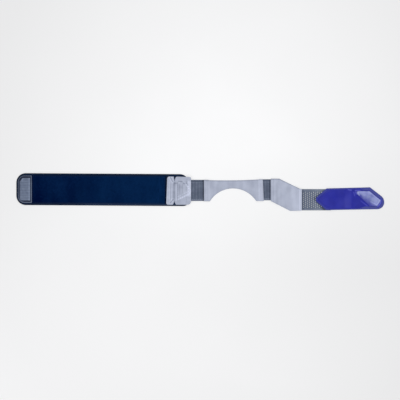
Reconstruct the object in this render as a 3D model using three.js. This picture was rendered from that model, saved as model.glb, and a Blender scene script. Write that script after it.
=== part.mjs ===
// A wrist support laid out open and flat: a padded band with a loop facing, and a strap of panels and
// elastic strips that runs on from it to a pull tab. Millimetres, +Z up, underside on z = 0.
// Here x runs along it from the band's free end, and y across it from the far elastic's centre line.
// The band's own pieces are drawn about the band's centre line, and then laid as the band lies.
import * as THREE from "three";

// Driving dimensions
const GAP = 0.3; // clearance between pieces that lie on or against each other
const BEVEL = 0.4; // rounding of a sheet's edges
const BEVEL_LIMIT = { width: 0.3, height: 0.4 }; // most that a bevel takes of a narrow or thin section
const STEP = 2; // distance between the sections of a lofted sheet
const NEAREST = 0.2; // sections that would lie nearer than this are one
const ARC_STEP = 2.5; // distance between the points of a rounded corner
const SQUARE_CORNER = 0.5; // radius of a corner that is cut square

const BAND = { length: 276, width: 51, thickness: 2.4, bevel: 0.8 };
const BAND_CORNERS = { free: 15, sewnLow: 9, sewnHigh: 14.5 };
const BAND_LIE = { rise: -0.0063, middle: 0.3 }; // its centre line's rise along x, and y at mid-length
const FACING = { from: 25.2, to: 239, width: 44.6, thickness: 1.2 };
const END_PATCH = { from: 2.6, to: FACING.from - GAP, width: 43.8, corner: 10.5, thickness: 1.2 };
const ANCHOR = { from: 240.5, to: 279.4, thickness: 1.3, lean: 0.035, upright: 257 };
// The tab's two long edges: place, draw-in at the far end, corner radii, and the notch's reach at the fold
const ANCHOR_EDGES = {
  high: { y: 21.6, drawIn: 0.6, nearCorner: 3.3, farCorner: 2.5, before: 1.2, after: 2.5, depth: 5.9 },
  low: { y: -23.5, drawIn: 0.2, nearCorner: 2.5, farCorner: 5.5, before: 2.4, after: 2.3, depth: 5 },
};
const CORNER_STEPS = [0.15, 0.5, 1]; // sections in a corner, as shares of its radius
const FOLD = { x: 252.9, dip: 0.5, dipHalf: 1.6, steps: [-0.6, 0, 0.6] }; // steps: sections near the fold

const ELASTIC_THICKNESS = 1.4;
const ELASTIC_NEAR = { from: 266.5, to: 307.5, low: -17.9, high: 15.9, leavesBand: 277.4, onFloor: 290 };
const ELASTIC_FAR = { from: 387.6, to: 414, low: -16.8, high: 16.8 };

const PANEL_THICKNESS = 1.5;
const RAMP = 8; // length over which a panel comes down from the strip that it overlaps
const THUMB = { from: 299.9, to: 395, footLeft: -18.4, footRight: -17.9, lean: -0.049, upright: 379 };
const THUMB_TOP = { lowest: 15, lowestX: 335, rise: 2 };
const NOTCH = { x: 346.6, crown: 2.2, radius: 43.7 };
const LINK = { from: 406.6, to: 456.7 };
const LINK_TOP = [
  { x: 406.6, y: 17.8 },
  { x: 420.4, y: 17.8 },
  { x: 454, y: 1.4 },
  { x: 456.7, y: 1.4 },
];
const LINK_BOTTOM = [
  { x: 406.6, y: -17.8 },
  { x: 438, y: -33.8 },
  { x: 456.7, y: -33.2 },
];

const MESH = { from: 449.2, to: 503, low: -32.8, high: 1.1 };
const HOLES = { firstX: 459.3, columns: 11, rows: 8, pitch: 3.2, stagger: 0.25, radius: 0.5 };
// The rims turn a little from hole to hole, so that no three of their corners line up.
const RIM = { sides: 8, rowTurn: 0.11, columnTurn: 0.07 };

const TAB = { thickness: 2, root: 478.9, onFloor: 516 };
const TAB_TOP = [
  { x: 478.9, y: -12.6 },
  { x: 496, y: 2.2 },
  { x: 565.6, y: 4 },
  { x: 583.6, y: -9.9 },
];
const TAB_BOTTOM = [
  { x: 478.9, y: -18.2 },
  { x: 495.3, y: -32.4 },
  { x: 577.4, y: -31 },
];
const NOSE = { tip: 588.4, y: -20, upperRadius: 13, lowerRadius: 11, blunt: 0.15 };
const NOSE_STEPS = [0.55, 0.75, 0.88, 0.95]; // sections in the nose, as shares of its length
const GRIP = { thickness: 0.8, corner: 3 };
const GRIP_OUTLINE = [
  { x: 539, y: -1.8 },
  { x: 565.5, y: -26.4 },
  { x: 577.5, y: -26.4 },
  { x: 583.4, y: -17.2 },
  { x: 564.3, y: -1.8 },
];

// Heights at which the upper layers lie
const ON_BAND = BAND.thickness + GAP;
const ON_ELASTIC = ELASTIC_THICKNESS + GAP;
const ON_NEAR_SEAM = ON_BAND + ELASTIC_THICKNESS + GAP;

// Colour and finish of each material
const finish = (color, roughness) => new THREE.MeshStandardMaterial({ color, roughness, metalness: 0 });
const NAVY_LAMINATE = finish(0x1a2a40, 0.8);
const NAVY_VELOUR = finish(0x051c41, 1);
const PATCH_GREY = finish(0x6b768b, 0.6);
const PANEL_GREY = finish(0xabb1c5, 0.75);
const ELASTIC_GREY = finish(0x5b6577, 0.9);
const MESH_GREY = finish(0x6f788a, 0.9);
const TAB_BLUE = finish(0x31359b, 0.5);
const GRIP_BLUE = finish(0x8289c3, 0.35);

// A smooth change from value a before x = from to value b after x = to.
function ease(x, from, to, a, b) {
  return a + (b - a) * THREE.MathUtils.smoothstep(x, from, to);
}

// The height at x of a line through points that are sorted by x.
function onLine(points, x) {
  const after = points.findIndex((point) => point.x >= x);
  if (after === 0) return points[0].y;
  if (after < 0) return points.at(-1).y;
  const a = points[after - 1];
  const b = points[after];
  return a.y + ((b.y - a.y) * (x - a.x)) / (b.x - a.x);
}

// How far a circle reaches above its centre, at a distance d to the side.
function rise(radius, d) {
  return Math.sqrt(Math.max(radius * radius - d * d, 0));
}

// Places of the sections: both ends, each break of the outline, and even steps between them.
function stations(from, to, breaks) {
  const marks = [from + BEVEL, ...breaks, to - BEVEL, to].sort((a, b) => a - b);
  const places = [from];
  for (const mark of marks) {
    const start = places.at(-1);
    if (mark - start < NEAREST) continue;
    const count = Math.ceil((mark - start) / STEP);
    for (let n = 1; n <= count; n++) places.push(start + ((mark - start) * n) / count);
  }
  return places;
}

// The corners of a section, anticlockwise seen from +x: a flat slab with bevelled edges.
function sectionCorners(low, high, bottom, top) {
  const b = Math.min(BEVEL, BEVEL_LIMIT.width * (high - low), BEVEL_LIMIT.height * (top - bottom));
  return [
    [low + b, bottom],
    [high - b, bottom],
    [high, bottom + b],
    [high, top - b],
    [high - b, top],
    [low + b, top],
    [low, top - b],
    [low, bottom + b],
  ];
}

// A sheet lofted along x: edges low(x) and high(x), underside at lift(x), thickness(x) thick.
// lean(x) slants a section: its points move along x by that share of their y.
function loftedSheet({ from, to, low, high, lift, thickness, breaks = [], lean = () => 0 }) {
  const places = stations(from, to, breaks);
  const positions = [];
  places.forEach((x, i) => {
    const inset = i === 0 || i === places.length - 1 ? BEVEL : 0;
    const bottom = lift(x);
    const corners = sectionCorners(
      low(x) + inset,
      high(x) - inset,
      bottom + inset,
      bottom + thickness(x) - inset,
    );
    for (const [y, z] of corners) positions.push(x + lean(x) * y, y, z);
  });

  const sides = positions.length / 3 / places.length;
  const index = [];
  for (let i = 0; i + 1 < places.length; i++) {
    for (let k = 0; k < sides; k++) {
      const a = i * sides + k;
      const b = i * sides + ((k + 1) % sides);
      index.push(a, b, a + sides, b, b + sides, a + sides);
    }
  }
  const last = (places.length - 1) * sides;
  for (let k = 1; k + 1 < sides; k++) {
    index.push(0, k + 1, k);
    index.push(last, last + k, last + k + 1);
  }

  const geometry = new THREE.BufferGeometry();
  geometry.setAttribute("position", new THREE.Float32BufferAttribute(positions, 3));
  geometry.setIndex(index);
  geometry.computeVertexNormals();
  return geometry;
}

// A flat plate of a given outline, with bevelled edges that stay inside the outline.
function plate(shape, bottom, thickness, bevel = BEVEL) {
  const geometry = new THREE.ExtrudeGeometry(shape, {
    depth: thickness - 2 * bevel,
    bevelThickness: bevel,
    bevelSize: bevel,
    bevelOffset: -bevel,
    bevelSegments: 2,
  });
  return geometry.translate(0, 0, bottom + bevel);
}

// A closed outline through corner points, anticlockwise, each rounded by its own radius.
function roundedOutline(points) {
  const outline = [];
  points.forEach((point, i) => {
    const here = new THREE.Vector2(point.x, point.y);
    const before = points[(i + points.length - 1) % points.length];
    const after = points[(i + 1) % points.length];
    const back = new THREE.Vector2(before.x, before.y).sub(here).normalize();
    const on = new THREE.Vector2(after.x, after.y).sub(here).normalize();
    const half = back.angleTo(on) / 2;
    const inward = back.clone().add(on).normalize();
    const centre = here.clone().addScaledVector(inward, point.radius / Math.sin(half));
    const start = here.clone().addScaledVector(back, point.radius / Math.tan(half));
    const turn = Math.PI - 2 * half;
    const count = Math.ceil(2 + (point.radius * turn) / ARC_STEP);
    for (let n = 0; n <= count; n++) {
      outline.push(start.clone().rotateAround(centre, (turn * n) / count));
    }
  });
  return new THREE.Shape(outline);
}

// A rectangle whose corners are rounded at its near end, and at its far end below and above.
function strip({ from, to, low, high }, near = SQUARE_CORNER, farLow = SQUARE_CORNER, farHigh = farLow) {
  return roundedOutline([
    { x: from, y: low, radius: near },
    { x: to, y: low, radius: farLow },
    { x: to, y: high, radius: farHigh },
    { x: from, y: high, radius: near },
  ]);
}

function bandBase() {
  const edges = { from: 0, to: BAND.length, low: -BAND.width / 2, high: BAND.width / 2 };
  const outline = strip(edges, BAND_CORNERS.free, BAND_CORNERS.sewnLow, BAND_CORNERS.sewnHigh);
  return plate(outline, 0, BAND.thickness, BAND.bevel);
}

function loopFacing() {
  const edges = { ...FACING, low: -FACING.width / 2, high: FACING.width / 2 };
  return plate(strip(edges), ON_BAND, FACING.thickness);
}

// The patch's round corners follow the band's free end.
function endPatch() {
  const edges = { ...END_PATCH, low: -END_PATCH.width / 2, high: END_PATCH.width / 2 };
  return plate(strip(edges, END_PATCH.corner), ON_BAND, END_PATCH.thickness);
}

// The tab lies on the band, climbs on to the elastic that is sewn under it, and folds at its notches.
function anchorTab() {
  const { high, low } = ANCHOR_EDGES;
  const cutBack = (edge, x) => {
    const reach = x < FOLD.x ? edge.before : edge.after;
    const notch = edge.depth * Math.max(1 - Math.abs(x - FOLD.x) / reach, 0);
    const corner = x < FOLD.x ? edge.nearCorner : edge.farCorner;
    const fromEnd = Math.min(x - ANCHOR.from, ANCHOR.to - x, corner);
    const drawIn = ease(x, FOLD.x, ANCHOR.to, 0, edge.drawIn);
    return notch + drawIn + corner - rise(corner, corner - fromEnd);
  };
  const dip = (x) => FOLD.dip * (1 - THREE.MathUtils.smoothstep(Math.abs(x - FOLD.x), 0, FOLD.dipHalf));
  const climbFrom = FOLD.x + high.after;
  const climbTo = ELASTIC_NEAR.from - 2 * GAP;
  const corners = (from, radius) => CORNER_STEPS.map((share) => from + share * radius);
  const breaks = [high, low].flatMap((edge) => [
    ...corners(ANCHOR.from, edge.nearCorner),
    FOLD.x - edge.before,
    FOLD.x + edge.after,
    ...corners(ANCHOR.to, -edge.farCorner),
  ]);
  return loftedSheet({
    from: ANCHOR.from,
    to: ANCHOR.to,
    low: (x) => low.y + cutBack(low, x),
    high: (x) => high.y - cutBack(high, x),
    lift: (x) => ease(x, climbFrom, climbTo, ON_BAND, ON_NEAR_SEAM),
    thickness: (x) => ANCHOR.thickness - dip(x),
    lean: (x) => ease(x, ANCHOR.from, ANCHOR.upright, ANCHOR.lean, 0),
    breaks: [...breaks, ...FOLD.steps.map((d) => FOLD.x + d)],
  });
}

// This strip is sewn between the band and the tab, and comes down to the surface beyond the band's end.
function elasticNear() {
  return loftedSheet({
    from: ELASTIC_NEAR.from,
    to: ELASTIC_NEAR.to,
    low: () => ELASTIC_NEAR.low,
    high: () => ELASTIC_NEAR.high,
    lift: (x) => ease(x, ELASTIC_NEAR.leavesBand, ELASTIC_NEAR.onFloor, ON_BAND, 0),
    thickness: () => ELASTIC_THICKNESS,
    breaks: [ELASTIC_NEAR.leavesBand, ELASTIC_NEAR.onFloor],
  });
}

// The panel's ends lie on the two elastic strips. The notch is an arc of a circle below the crown.
function thumbStrap() {
  const centreY = NOTCH.crown - NOTCH.radius;
  const foot = (x) => THREE.MathUtils.mapLinear(x, THUMB.from, THUMB.to, THUMB.footLeft, THUMB.footRight);
  const reach = (footY) => rise(NOTCH.radius, footY - centreY);
  const notchFrom = NOTCH.x - reach(THUMB.footLeft);
  const notchTo = NOTCH.x + reach(THUMB.footRight);
  const arc = (x) => centreY + rise(NOTCH.radius, x - NOTCH.x);
  const bow = (x) => (x - THUMB_TOP.lowestX) / (THUMB.to - THUMB_TOP.lowestX);
  const down = ELASTIC_NEAR.to + GAP;
  const up = ELASTIC_FAR.from - GAP;
  return loftedSheet({
    from: THUMB.from,
    to: THUMB.to,
    low: (x) => Math.max(foot(x), arc(x)),
    high: (x) => THUMB_TOP.lowest + THUMB_TOP.rise * bow(x) ** 2,
    lift: (x) => ease(x, down, down + RAMP, ON_ELASTIC, 0) + ease(x, up - RAMP, up, 0, ON_ELASTIC),
    thickness: () => PANEL_THICKNESS,
    lean: (x) => ease(x, THUMB.upright, THUMB.to, 0, THUMB.lean),
    breaks: [down, notchFrom, notchTo, up],
  });
}

function elasticFar() {
  return plate(strip(ELASTIC_FAR), 0, ELASTIC_THICKNESS);
}

// A slanted panel whose ends lie on the strips before and after it.
function linkPanel() {
  const down = ELASTIC_FAR.to + GAP;
  const up = MESH.from - GAP;
  const bends = [...LINK_TOP.slice(1, -1), ...LINK_BOTTOM.slice(1, -1)].map((point) => point.x);
  return loftedSheet({
    from: LINK.from,
    to: LINK.to,
    low: (x) => onLine(LINK_BOTTOM, x),
    high: (x) => onLine(LINK_TOP, x),
    lift: (x) => ease(x, down, down + RAMP, ON_ELASTIC, 0) + ease(x, up - RAMP, up, 0, ON_ELASTIC),
    thickness: () => PANEL_THICKNESS,
    breaks: [...bends, down, up],
  });
}

// The strip between the link panel and the pull tab, pierced by staggered columns of small holes.
function meshStrip() {
  const outline = strip(MESH);
  const middle = (MESH.low + MESH.high) / 2;
  for (let column = 0; column < HOLES.columns; column++) {
    const stagger = column % 2 ? HOLES.stagger : -HOLES.stagger;
    for (let row = 0; row < HOLES.rows; row++) {
      const x = HOLES.firstX + column * HOLES.pitch;
      const y = middle + (row - (HOLES.rows - 1) / 2 + stagger) * HOLES.pitch;
      const rim = [];
      for (let k = 0; k < RIM.sides; k++) {
        const turn = (2 * Math.PI * k) / RIM.sides + row * RIM.rowTurn + column * RIM.columnTurn;
        rim.push(new THREE.Vector2(x + HOLES.radius * Math.cos(turn), y + HOLES.radius * Math.sin(turn)));
      }
      outline.holes.push(new THREE.Path(rim));
    }
  }
  return new THREE.ExtrudeGeometry(outline, { depth: ELASTIC_THICKNESS, bevelEnabled: false });
}

// The tab's pointed root lies on the mesh strip, and the rest comes down to the surface.
function pullTab() {
  const nose = (radius, x) => rise(radius, Math.max(x - (NOSE.tip - radius), 0));
  const upperFrom = TAB_TOP.at(-1).x;
  const lowerFrom = TAB_BOTTOM.at(-1).x;
  const bends = [...TAB_TOP.slice(1).map((point) => point.x), lowerFrom];
  const noseSteps = NOSE_STEPS.map((share) => lowerFrom + share * (NOSE.tip - lowerFrom));
  return loftedSheet({
    from: TAB.root,
    to: NOSE.tip - NOSE.blunt,
    low: (x) => (x < lowerFrom ? onLine(TAB_BOTTOM, x) : NOSE.y - nose(NOSE.lowerRadius, x)),
    high: (x) => (x < upperFrom ? onLine(TAB_TOP, x) : NOSE.y + nose(NOSE.upperRadius, x)),
    lift: (x) => ease(x, MESH.to + GAP, TAB.onFloor, ON_ELASTIC, 0),
    thickness: () => TAB.thickness,
    breaks: [...bends, MESH.to + GAP, TAB.onFloor, ...noseSteps],
  });
}

function gripPatch() {
  const outline = roundedOutline(GRIP_OUTLINE.map((point) => ({ ...point, radius: GRIP.corner })));
  return plate(outline, TAB.thickness + GAP, GRIP.thickness, BEVEL / 2);
}

// Lays a piece as the band lies: slanted, with its cuts across x left upright.
function laid(geometry) {
  const slant = new THREE.Matrix4().makeShear(BAND_LIE.rise, 0, 0, 0, 0, 0);
  slant.setPosition(0, BAND_LIE.middle - (BAND_LIE.rise * BAND.length) / 2, 0);
  return geometry.applyMatrix4(slant);
}

function piece(name, geometry, material) {
  const mesh = new THREE.Mesh(geometry, material);
  mesh.name = name;
  return mesh;
}

const wristBand = new THREE.Group();
wristBand.add(
  piece("band_base", laid(bandBase()), NAVY_LAMINATE),
  piece("loop_facing", laid(loopFacing()), NAVY_VELOUR),
  piece("end_patch", laid(endPatch()), PATCH_GREY),
  piece("anchor_tab", laid(anchorTab()), PANEL_GREY),
);

const thumbLoop = new THREE.Group();
thumbLoop.add(
  piece("elastic_near", elasticNear(), ELASTIC_GREY),
  piece("thumb_strap", thumbStrap(), PANEL_GREY),
  piece("elastic_far", elasticFar(), ELASTIC_GREY),
  piece("link_panel", linkPanel(), PANEL_GREY),
  piece("mesh_strip", meshStrip(), MESH_GREY),
  piece("pull_tab", pullTab(), TAB_BLUE),
  piece("grip_patch", gripPatch(), GRIP_BLUE),
);

// The origin is the middle of the underside's box.
const laidOut = new THREE.Group().add(wristBand, thumbLoop);
const box = new THREE.Box3().setFromObject(laidOut);
const centre = box.getCenter(new THREE.Vector3());
laidOut.position.set(-centre.x, -centre.y, -box.min.z);

export default new THREE.Group().add(laidOut);
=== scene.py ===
"""A wrist support laid out flat: the looks of its band, panels, elastics and pull tab.

Lengths are in millimetres, along x from the band's free end and along y from the far elastic's centre line.
They become metres in the frame when a piece is made.
"""
import math

import bpy
import numpy as np
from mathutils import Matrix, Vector


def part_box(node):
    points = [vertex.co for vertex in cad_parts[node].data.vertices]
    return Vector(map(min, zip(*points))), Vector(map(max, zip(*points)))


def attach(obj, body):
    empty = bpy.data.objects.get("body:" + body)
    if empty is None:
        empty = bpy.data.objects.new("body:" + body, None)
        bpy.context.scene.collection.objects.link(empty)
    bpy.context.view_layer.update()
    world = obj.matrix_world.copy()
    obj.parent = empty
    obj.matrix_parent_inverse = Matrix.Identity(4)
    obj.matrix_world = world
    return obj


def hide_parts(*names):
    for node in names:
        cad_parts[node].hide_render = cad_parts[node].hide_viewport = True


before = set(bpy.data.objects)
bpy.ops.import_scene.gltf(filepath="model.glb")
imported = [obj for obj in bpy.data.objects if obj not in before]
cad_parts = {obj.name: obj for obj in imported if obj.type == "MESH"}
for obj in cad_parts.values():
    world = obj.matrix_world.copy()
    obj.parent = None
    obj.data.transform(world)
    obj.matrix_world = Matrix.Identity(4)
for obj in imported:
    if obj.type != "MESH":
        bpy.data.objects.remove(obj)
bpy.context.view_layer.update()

MM = 0.001
BODY = "root"
TURN = 2 * math.pi

# Place of the measuring frame
band_low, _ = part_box("band_base")
elastic_low, elastic_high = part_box("elastic_far")
ORIGIN = np.array([band_low.x, (elastic_low.y + elastic_high.y) / 2, 0]) / MM

# What all sheets share
EDGE_STEPS = np.array([0, 0.06, 0.22, 0.5])  # places over a rounded edge, as shares of its width
TINY = 1e-12  # keeps a divisor from being zero

# The band, its facing and its end patch
BAND_RISE = -0.0063  # the slant that the band lies at, for each millimetre along it
# The band's border: roll places the painted shade on the rolled edge, strip and paler the painted highlight
# along the lower border
BORDER = {"width": 3.2, "roll": (0.3, 1.3), "strip": (1.2, 4.2), "paler": (70, 130), "wave_size": 17}
PILE = {
    "lump": 2.2,
    "swell": 24,
    "combed": 2.2,
    "streaks": (222, 232),
    "streak_size": 14,
    "streak_squeeze": 8,
    "last_streak": 238.4,
}
PATCH = {
    "rim": 1.45,
    "soft": 0.3,
    "lit": (4, 21),
    "rib_pitch": 2.6,
    "tooth_pitch": 1.3,
    "shoulder": 3,
    "bright": 20.9,
}
PATCH_PANEL = [(5.5, 13.2), (5.5, -14.5), (8, -17.1), (22.2, -17.1), (22.2, 18.9), (9.8, 18.9)]
PATCH_GLINT = ((9.2, 15), (10.8, 17.4))

# The anchor tab
ANCHOR_LEAN = {"slope": 0.035, "end": 240.5, "upright": 257}
ANCHOR = {
    "lip": (242.6, 243.8),
    "bar_lines": (245.3, 248.6),
    "crease": 252.3,
    "bead": 255.7,
    "gutter": 257.8,
    "mitre_flank": 1.7,
    "edge": (0.5, 2),
    "needle_holes": (272, 277.2),
    "hole_margin": (1.5, 3),
    "hem": (272.8, 274.4),
    "hem_reach": (-11, 14),
    "field_shade": (260, 270),
    "pleats": (258.6, 268),
    "pleat_reach": (-8, 9),
    "first_pleat": 261.3,
    "pleat_pitch": 4.1,
    "second_row": 4.3,
    "row_pitch": 3.2,
    "lump": 4,
}
ANCHOR_MIDDLE = (-18, 12.5)  # the stretch between the two notches, across the tab
MITRES = [((246.4, 19.8), (250.2, 13)), ((246.2, -21), (250.6, -15.6))]
NOTCH_TIPS = [((252.9, 18), (252.9, 14.4)), ((252.9, -20.6), (252.9, -18.8))]
SHIELD = [(257.8, 10.6), (257.8, -15.9), (276, -6.8), (279, -2), (270, 11)]  # the sewn field
PUCKERS = [((259.5, 13.4), (265, 13.2)), ((253.6, 10.5), (256.2, 10.4)),
           ((267, 10.4), (269.6, 10)), ((271.8, 10.8), (274.2, 7.4))]

# The elastics and the two panels between them
THUMB_LEAN = {"slope": -0.049, "end": 395, "upright": 379}
ELASTIC = {
    "rib_pitch": 2.4,
    "weft_pitch": 1.1,
    "selvedge": 2.4,
    "body": (2.4, 3.2),
    "low_band": (2.4, 4.4),
    "cord": 4.2,
    "dash_pitch": 3.2,
    "blotch": 6,
    "fleck": 2.5,
}
# Where an elastic dips under the next panel, and its tone there
ELASTIC_SHADES = {"elastic_near": (299.2, -0.8), "elastic_far": (405.8, -0.5)}
# Hems of the two panels: where each starts and ends, and how much paler it is painted, as light on the
# raised hem
THUMB_HEMS = [(298, 306.5, 0.0), (386, 397, 0.22)]
LINK_HEMS = [(404, 411.3, -0.05), (451.4, 459, 0.28)]
PANEL = {
    "edge": 2.6,
    "top_edge": (0.8, 2.6),
    "seam": 1.7,
    "wave_size": 14,
    "streaks": (4, 2),
    "paler": (437, 442),
}

# The mesh strip
HOLES = {"first_x": 459.3, "columns": 11, "rows": 8, "pitch": 3.2, "stagger": 0.25, "radius": 0.5}
LATTICE = 6  # lattice spaces in a pitch of the holes
KNIT = {
    "edge": 0.45,
    "selvedge": 2.4,
    "body": (1.9, 2.9),
    "cut": (0.2, 1),
    "course_pitch": 1.6,
    "shade": 458,
    "paler": (470, 482),
}
# A shadow of the pull tab's root is painted on the mesh along this edge
ROOT_EDGE = [(497, 0.5), (478.5, -14), (493, -32)]  # where the pull tab's root lies on the mesh

# The pull tab and its grip
TAB = {
    "upper": (0.3, 0.7),
    "rim_low": 2.1,
    "rim_high": 2.3,
    "rim_end": 5,
    "rim_root": 0.8,
    "rim_soft": (-0.8, 0.4),
    "end": (546, 560),
    "root": (497, 503),
    "seam": 4.6,
    "beside": -1.3,
    "beside_reach": (-28, -6),
    "wave_size": 21,
    "paler": (525, 536),
}
# Weld ridges, painted lighter where they catch the light, and painted glints on the tab
TAB_WELDS = [((539.6, -4), (541.2, -9.5)), ((551, -17.8), (564.3, -28.2))]
TAB_GLINTS = [((530.5, 0.4), (535.5, -0.6)), ((542, -1.2), (549.5, -1)),
              ((562.8, -0.8), (564.2, -1)), ((542.8, -3.4), (543.6, -6.6))]
# a painted highlight round the grip's far end
TAB_HALO = [(583, -15.5), (582.9, -19.5), (581, -23.5), (578, -26.6)]  # pale round the grip's far end
GRIP_SLANT = [(539, -1.8), (565.5, -26.4)]
GRIP = {
    "bead": (0.4, 1.6),
    "thin": 0.5,
    "thick": (10, 5.5),
    "turn": (-13, -5),
    "brighter": (560, 576),
    "pips": (2.5, 3.5),
    "pip_pitch": 2.2,
    "lump": 5,
}
GRIP_MILKY = (572, -11)  # the middle of the film's thickest part
GRIP_FRAME = [(548.5, -3.6), (564.7, -3.4), (581.3, -16.5), (576.3, -24.4), (566.8, -19.3)]
# Painted glints on the film
GRIP_GLINTS = [((544.6, -3.4), (545.6, -7)), ((546.6, -3.4), (548, -9))]

# Thread: rows across a sheet by their x, and rows along an edge by their inset
STITCH = {"length": 2.2, "gap": 1.0, "radius": 0.2, "sides": 6}
SEAMS = {
    "facing": 1.3,
    "patch": 0.75,
    "anchor": (242.6, 249.2, 274.6),
    "thumb": (301.8, 305.4, 387.2, 390.2, 393.3),
    "link": (408.6, 447.8, 450.5, 455),
    "tab": (1.6, 3.9),
    "end": 1.6,
}

# The floor and the lights, in metres
# The floor's glow is painted light that softens the shadows on it
STAGE = {"half": 4.0, "drop": 0.0002, "glow": 0.5, "ambient": 0.3, "sky": (0.97, 0.98, 1.0, 1.0)}
# The floor's colour is painted light: a pool of light about the object, one dim patch and one bright patch
FLOOR_POOL = {"centre": (0.03, 0.03), "reach": (0.38, 0.5)}
FLOOR_DIM = {"centre": (0.34, -0.12), "reach": (0.6, 0.2)}
FLOOR_BRIGHT = {"centre": (-0.34, -0.34), "reach": (0.4, 0.34)}
LIGHTS = {
    "key": {"place": (-0.25, -0.4, 1.2), "size": 1.4, "power": 10.0},
    "fill": {"place": (0.3, 0.4, 1.2), "size": 1.4, "power": 8.6},
}

# The camera, straight above
CAMERA = {"sensor": 36, "height": 2400, "view": 640, "aim": (293.7, -16.3)}


# Functions on arrays
def ramp(value, start, end):
    """0 before start, 1 after end, and smooth between."""
    share = np.clip((value - start) / (end - start), 0, 1)
    return share * share * (3 - 2 * share)


def plateau(value, start, end, soft):
    """1 between start and end, 0 outside, with soft flanks."""
    return ramp(value, start - soft, start + soft) - ramp(value, end - soft, end + soft)


def ridge(value, centre, half):
    """A smooth ridge of height 1 at a centre value."""
    return np.exp(-(((value - centre) / half) ** 2))


def cosine(value, pitch):
    """A wave between 0 and 1, with a crest at value 0."""
    return 0.5 + 0.5 * np.cos(TURN * value / pitch)


def line_distance(x, y, start, end):
    """Distance from points to a straight span."""
    run = np.subtract(end, start)
    share = np.clip(((x - start[0]) * run[0] + (y - start[1]) * run[1]) / (run @ run), 0, 1)
    return np.hypot(x - start[0] - share * run[0], y - start[1] - share * run[1])


def ridges(x, y, spans, half, beside=0):
    """Ridges along straight spans, or at a distance beside them."""
    return sum(ridge(line_distance(x, y, *span), beside, half) for span in spans)


def line_offset(x, y, start, end):
    """Signed distance from points to an endless line, positive on the line's left."""
    run = np.subtract(end, start) / math.dist(start, end)
    return run[0] * (y - start[1]) - run[1] * (x - start[0])


def path_distance(x, y, path):
    """Least distance from points to an open path of straight spans."""
    return np.minimum.reduce([line_distance(x, y, *span) for span in zip(path, path[1:])])


def depth_inside(x, y, corners):
    """Distance of points inwards from the sides of a convex outline, given anticlockwise."""
    spans = zip(corners, [*corners[1:], corners[0]])
    return np.minimum.reduce([line_offset(x, y, *span) for span in spans])


def mottle(x, y, size, seed):
    """Smooth noise between -1 and 1, with lumps of a given size."""
    cells = 64
    values = np.random.default_rng(seed).uniform(-1, 1, (cells, cells))
    column = np.floor(x / size).astype(int)
    row = np.floor(y / size).astype(int)
    right = ramp(x / size - column, 0, 1)
    up = ramp(y / size - row, 0, 1)

    def corner(columns, rows):
        return values[(column + columns) % cells, (row + rows) % cells]

    low = corner(0, 0) * (1 - right) + corner(1, 0) * right
    high = corner(0, 1) * (1 - right) + corner(1, 1) * right
    return low * (1 - up) + high * up


def edge_lines(length, step, edge):
    """Places from 0 to length: close together over a rounded edge at 0, then in even steps."""
    count = max(round((length - edge) / step), 1)
    return np.concatenate([EDGE_STEPS * edge, np.linspace(edge, length, count + 1)])


def spread(length, step, edge):
    """Places from 0 to length: close together over two rounded edges, with even steps between."""
    half = edge_lines(length / 2, step, edge)
    return np.concatenate([half, (length - half)[-2::-1]])


# Outlines
def loop_distance(x, y, loop):
    """Least distance from points to a closed loop of straight spans."""
    run = np.roll(loop, -1, axis=0) - loop
    square = np.maximum((run ** 2).sum(axis=1), TINY)
    least = np.empty(len(x))
    block = 2000
    for first in range(0, len(x), block):
        part = slice(first, first + block)
        dx = x[part, None] - loop[:, 0]
        dy = y[part, None] - loop[:, 1]
        share = np.clip((dx * run[:, 0] + dy * run[:, 1]) / square, 0, 1)
        least[part] = np.hypot(dx - share * run[:, 0], dy - share * run[:, 1]).min(axis=1)
    return least


def inset_loop(loop, inset):
    """An anticlockwise loop moved inwards, without the stretches that would cross at its corners.

    It starts at its greatest x.
    """
    along = np.roll(loop, -1, axis=0) - np.roll(loop, 1, axis=0)
    inward = np.stack([-along[:, 1], along[:, 0]], axis=1)
    inward /= np.maximum(np.hypot(*along.T), TINY)[:, None]
    moved = loop + inward * inset
    least = 0.97 * inset  # closer points have crossed a corner
    moved = moved[loop_distance(moved[:, 0], moved[:, 1], loop) > least]
    return np.roll(moved, -np.argmax(moved[:, 0]), axis=0)


class Lean:
    """A slant at a sheet's end: points near it move along x by a share of their y."""

    ROUNDS = 4  # steps that undo the slant closely enough

    def __init__(self, slope=0, end=1, upright=0):
        self.slope = slope
        self.end = end
        self.upright = upright

    def shift(self, x, y):
        return self.slope * ramp(x, self.upright, self.end) * y

    def straighten(self, x, y):
        straight = x
        for _ in range(self.ROUNDS):
            straight = x - self.shift(straight, y)
        return straight


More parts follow.
